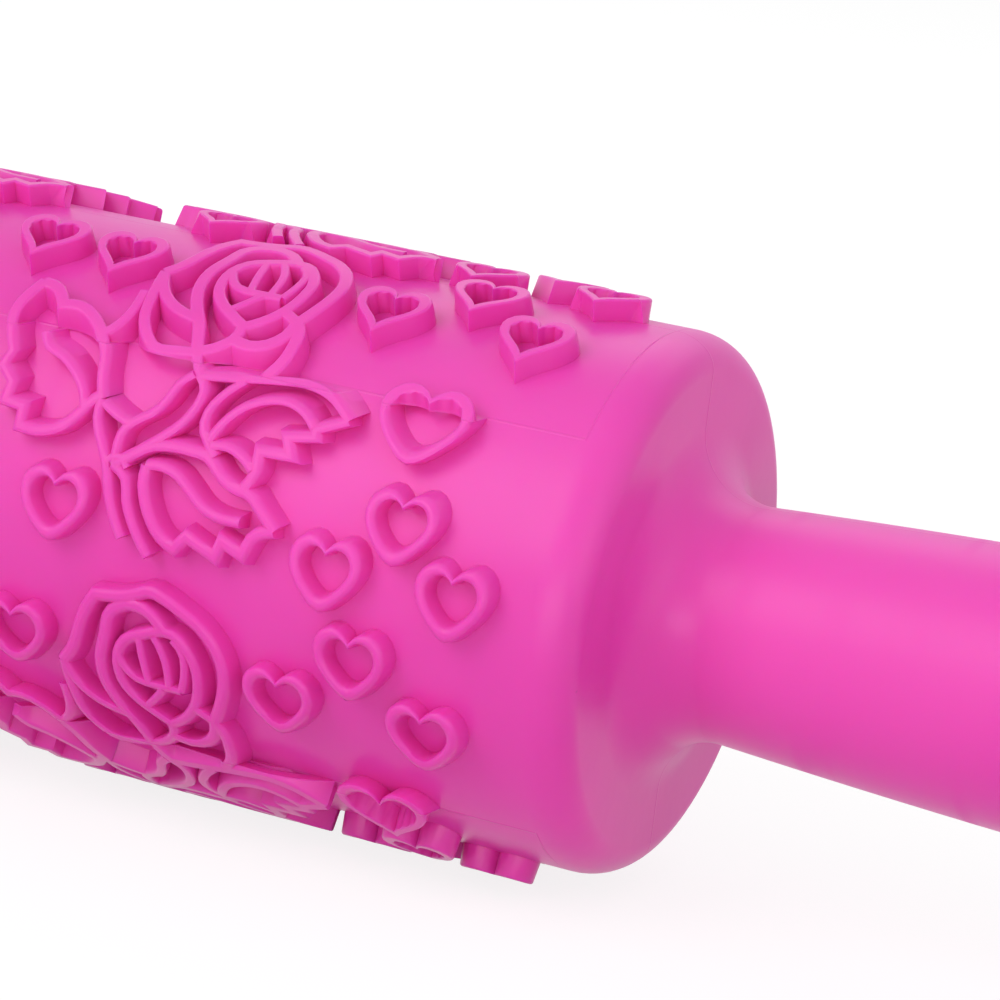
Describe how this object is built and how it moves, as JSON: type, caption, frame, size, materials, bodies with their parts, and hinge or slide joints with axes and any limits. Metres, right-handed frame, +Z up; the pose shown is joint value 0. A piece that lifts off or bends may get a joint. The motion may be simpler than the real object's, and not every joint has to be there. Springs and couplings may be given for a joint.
{
  "type": "embossing rolling pin",
  "caption": "Hollow plastic rolling pin whose barrel carries a raised outline pattern of roses and hearts, with a plain grip at each end.",
  "frame": {"origin": "middle of the pin on its axis, half way between the tips of the handles", "axes": "+X runs along the axis towards the handle that is moulded with the barrel, +Z is up as it lies on a table, -Y faces the viewer"},
  "size_m": [0.285, 0.055, 0.055],
  "materials": {
    "barrel_pink": "gloss, slightly translucent",
    "handle_pink": "gloss, slightly translucent",
    "plug_pink": "satin"
  },
  "bodies": {
    "root": {"roller_body": "barrel_pink", "left_handle": "handle_pink", "right_handle_plug": "plug_pink", "left_handle_plug": "plug_pink"}
  },
  "joints": []
}
